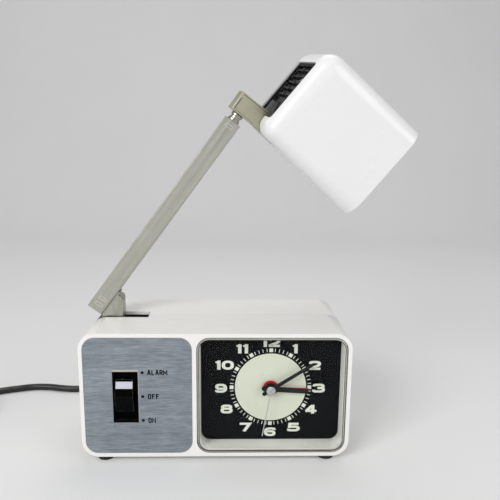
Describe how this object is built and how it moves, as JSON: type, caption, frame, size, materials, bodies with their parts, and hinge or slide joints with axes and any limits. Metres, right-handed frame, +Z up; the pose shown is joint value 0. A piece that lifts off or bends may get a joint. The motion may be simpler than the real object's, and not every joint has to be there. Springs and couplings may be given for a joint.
{
  "type": "alarm clock with lamp",
  "caption": "Bedside alarm clock in a rounded white case, with a round dial in a rectangular window, a rocker switch and a small lamp on a folding arm",
  "frame": {"origin": "on the table, below the middle of the case", "axes": "+X along the clock face to the viewer's right, +Y from the face to the back, +Z up"},
  "size_m": [0.4691, 0.2139, 0.3059],
  "materials": {
    "white_plastic": "satin",
    "white_marker": "gloss",
    "aluminium_plate": "brushed",
    "clear_plastic": "clear",
    "black_plastic": "matt",
    "cream_paint": "matt",
    "rubber": "matt",
    "cord_rubber": "satin",
    "steel": "nickel plated",
    "dark_steel": "dark",
    "white_terminal": "matt",
    "brass": "satin",
    "motor_metal": "zinc plated",
    "copper": "wound wire",
    "black_hand": "matt",
    "silver_hand": "satin",
    "red_paint": "satin",
    "nickel_sheet": "nickel plated, brushed",
    "friction_fibre": "hard fibre",
    "cable": "matt",
    "bulb_metal": "satin",
    "bulb_white": "opal",
    "pin_metal": "nickel plated"
  },
  "bodies": {
    "case": {"front_shell": "white_plastic", "rear_shell": "white_plastic", "faceplate": "aluminium_plate", "lens": "clear_plastic", "dial_frame": "white_plastic", "dial_plate": "black_plastic", "dial_disc": "cream_paint", "feet": "rubber", "case_screws": "steel", "strain_relief": "rubber", "terminal_block": "white_terminal", "switch_housing": "black_plastic", "switch_body": "black_plastic", "movement_front_plate": "brass", "movement_rear_plate": "brass", "movement_pillars": "brass", "motor_can": "motor_metal", "motor_coil": "copper", "alarm_contact": "brass", "hinge_carrier": "nickel_sheet", "carrier_screws": "steel", "hinge_pin": "steel", "friction_washers": "friction_fibre", "mains_cord": "cord_rubber", "cord_coil": "cord_rubber", "cord_tail": "cord_rubber", "coil_tie": "cord_rubber", "plug": "black_plastic", "plug_pins": "pin_metal"},
    "arm": {"base_bracket": "nickel_sheet", "bracket_nut": "dark_steel", "arm_tube": "nickel_sheet", "arm_plugs": "nickel_sheet", "lamp_cable": "cable", "swivel_pin": "steel", "swivel_washers": "steel", "swivel_nut": "steel"},
    "bracket": {"head_bracket": "nickel_sheet"},
    "head": {"tilt_pin": "steel", "shade": "white_plastic", "socket_carrier": "black_plastic", "shade_screws": "steel", "lampholder": "black_plastic", "bulb_cap": "bulb_metal", "bulb_glass": "bulb_white"},
    "switch": {"rocker": "black_plastic", "rocker_marker": "white_marker"},
    "rotor": {"motor_rotor": "dark_steel"},
    "seconds": {"seconds_wheel": "brass", "seconds_hand": "silver_hand"},
    "minutes": {"minute_pipe": "brass", "minute_hand": "black_hand"},
    "hours": {"hour_wheel": "brass", "hour_hand": "black_hand"},
    "alarm_pointer": {"alarm_wheel": "brass", "alarm_hand": "red_paint"},
    "time_setting": {"motion_wheel": "brass", "time_knob": "white_plastic"},
    "alarm_setting": {"alarm_pinion": "brass", "alarm_knob": "red_paint"}
  },
  "joints": [
    {"name": "arm_fold", "type": "hinge", "parent": "case", "child": "arm", "pos_m": [-0.086, 0.0015, 0.0893], "axis": [0, 1, 0], "range_deg": [0, 53]},
    {"name": "head_swivel", "type": "hinge", "parent": "arm", "child": "bracket", "pos_m": [0.01116, 0.0015, 0.25285], "axis": [0.5934, 0, 0.8049], "range_deg": [-160, 160]},
    {"name": "head_tilt", "type": "hinge", "parent": "bracket", "child": "head", "pos_m": [0.04212, 0.00852, 0.24742], "axis": [0.1947, -0.9703, -0.1436], "range_deg": [-16, 34]},
    {"name": "switch_rock", "type": "hinge", "parent": "case", "child": "switch", "pos_m": [-0.0664, -0.038, 0.0525], "axis": [1, 0, 0], "range_deg": [-12, 12]},
    {"name": "rotor_spin", "type": "hinge", "parent": "case", "child": "rotor", "pos_m": [0.0413, 0, 0.0621], "axis": [0, 1, 0], "continuous": true},
    {"name": "seconds_spin", "type": "hinge", "parent": "case", "child": "seconds", "pos_m": [0.0413, 0, 0.0525], "axis": [0, 1, 0], "continuous": true},
    {"name": "time_set", "type": "hinge", "parent": "case", "child": "time_setting", "pos_m": [0.0293, 0, 0.0525], "axis": [0, 1, 0], "continuous": true},
    {"name": "minutes_spin", "type": "hinge", "parent": "case", "child": "minutes", "pos_m": [0.0413, 0, 0.0525], "axis": [0, 1, 0], "continuous": true},
    {"name": "hours_spin", "type": "hinge", "parent": "case", "child": "hours", "pos_m": [0.0413, 0, 0.0525], "axis": [0, 1, 0], "continuous": true},
    {"name": "alarm_set", "type": "hinge", "parent": "case", "child": "alarm_setting", "pos_m": [0.0563, 0, 0.0525], "axis": [0, 1, 0], "continuous": true},
    {"name": "alarm_pointer_spin", "type": "hinge", "parent": "case", "child": "alarm_pointer", "pos_m": [0.0413, 0, 0.0525], "axis": [0, 1, 0], "continuous": true}
  ],
  "couplings": [
    {"joint": "seconds_spin", "follows": "rotor_spin", "ratio": -0.2},
    {"joint": "minutes_spin", "follows": "time_set", "ratio": -3},
    {"joint": "hours_spin", "follows": "time_set", "ratio": -0.25},
    {"joint": "alarm_pointer_spin", "follows": "alarm_set", "ratio": -0.25}
  ]
}
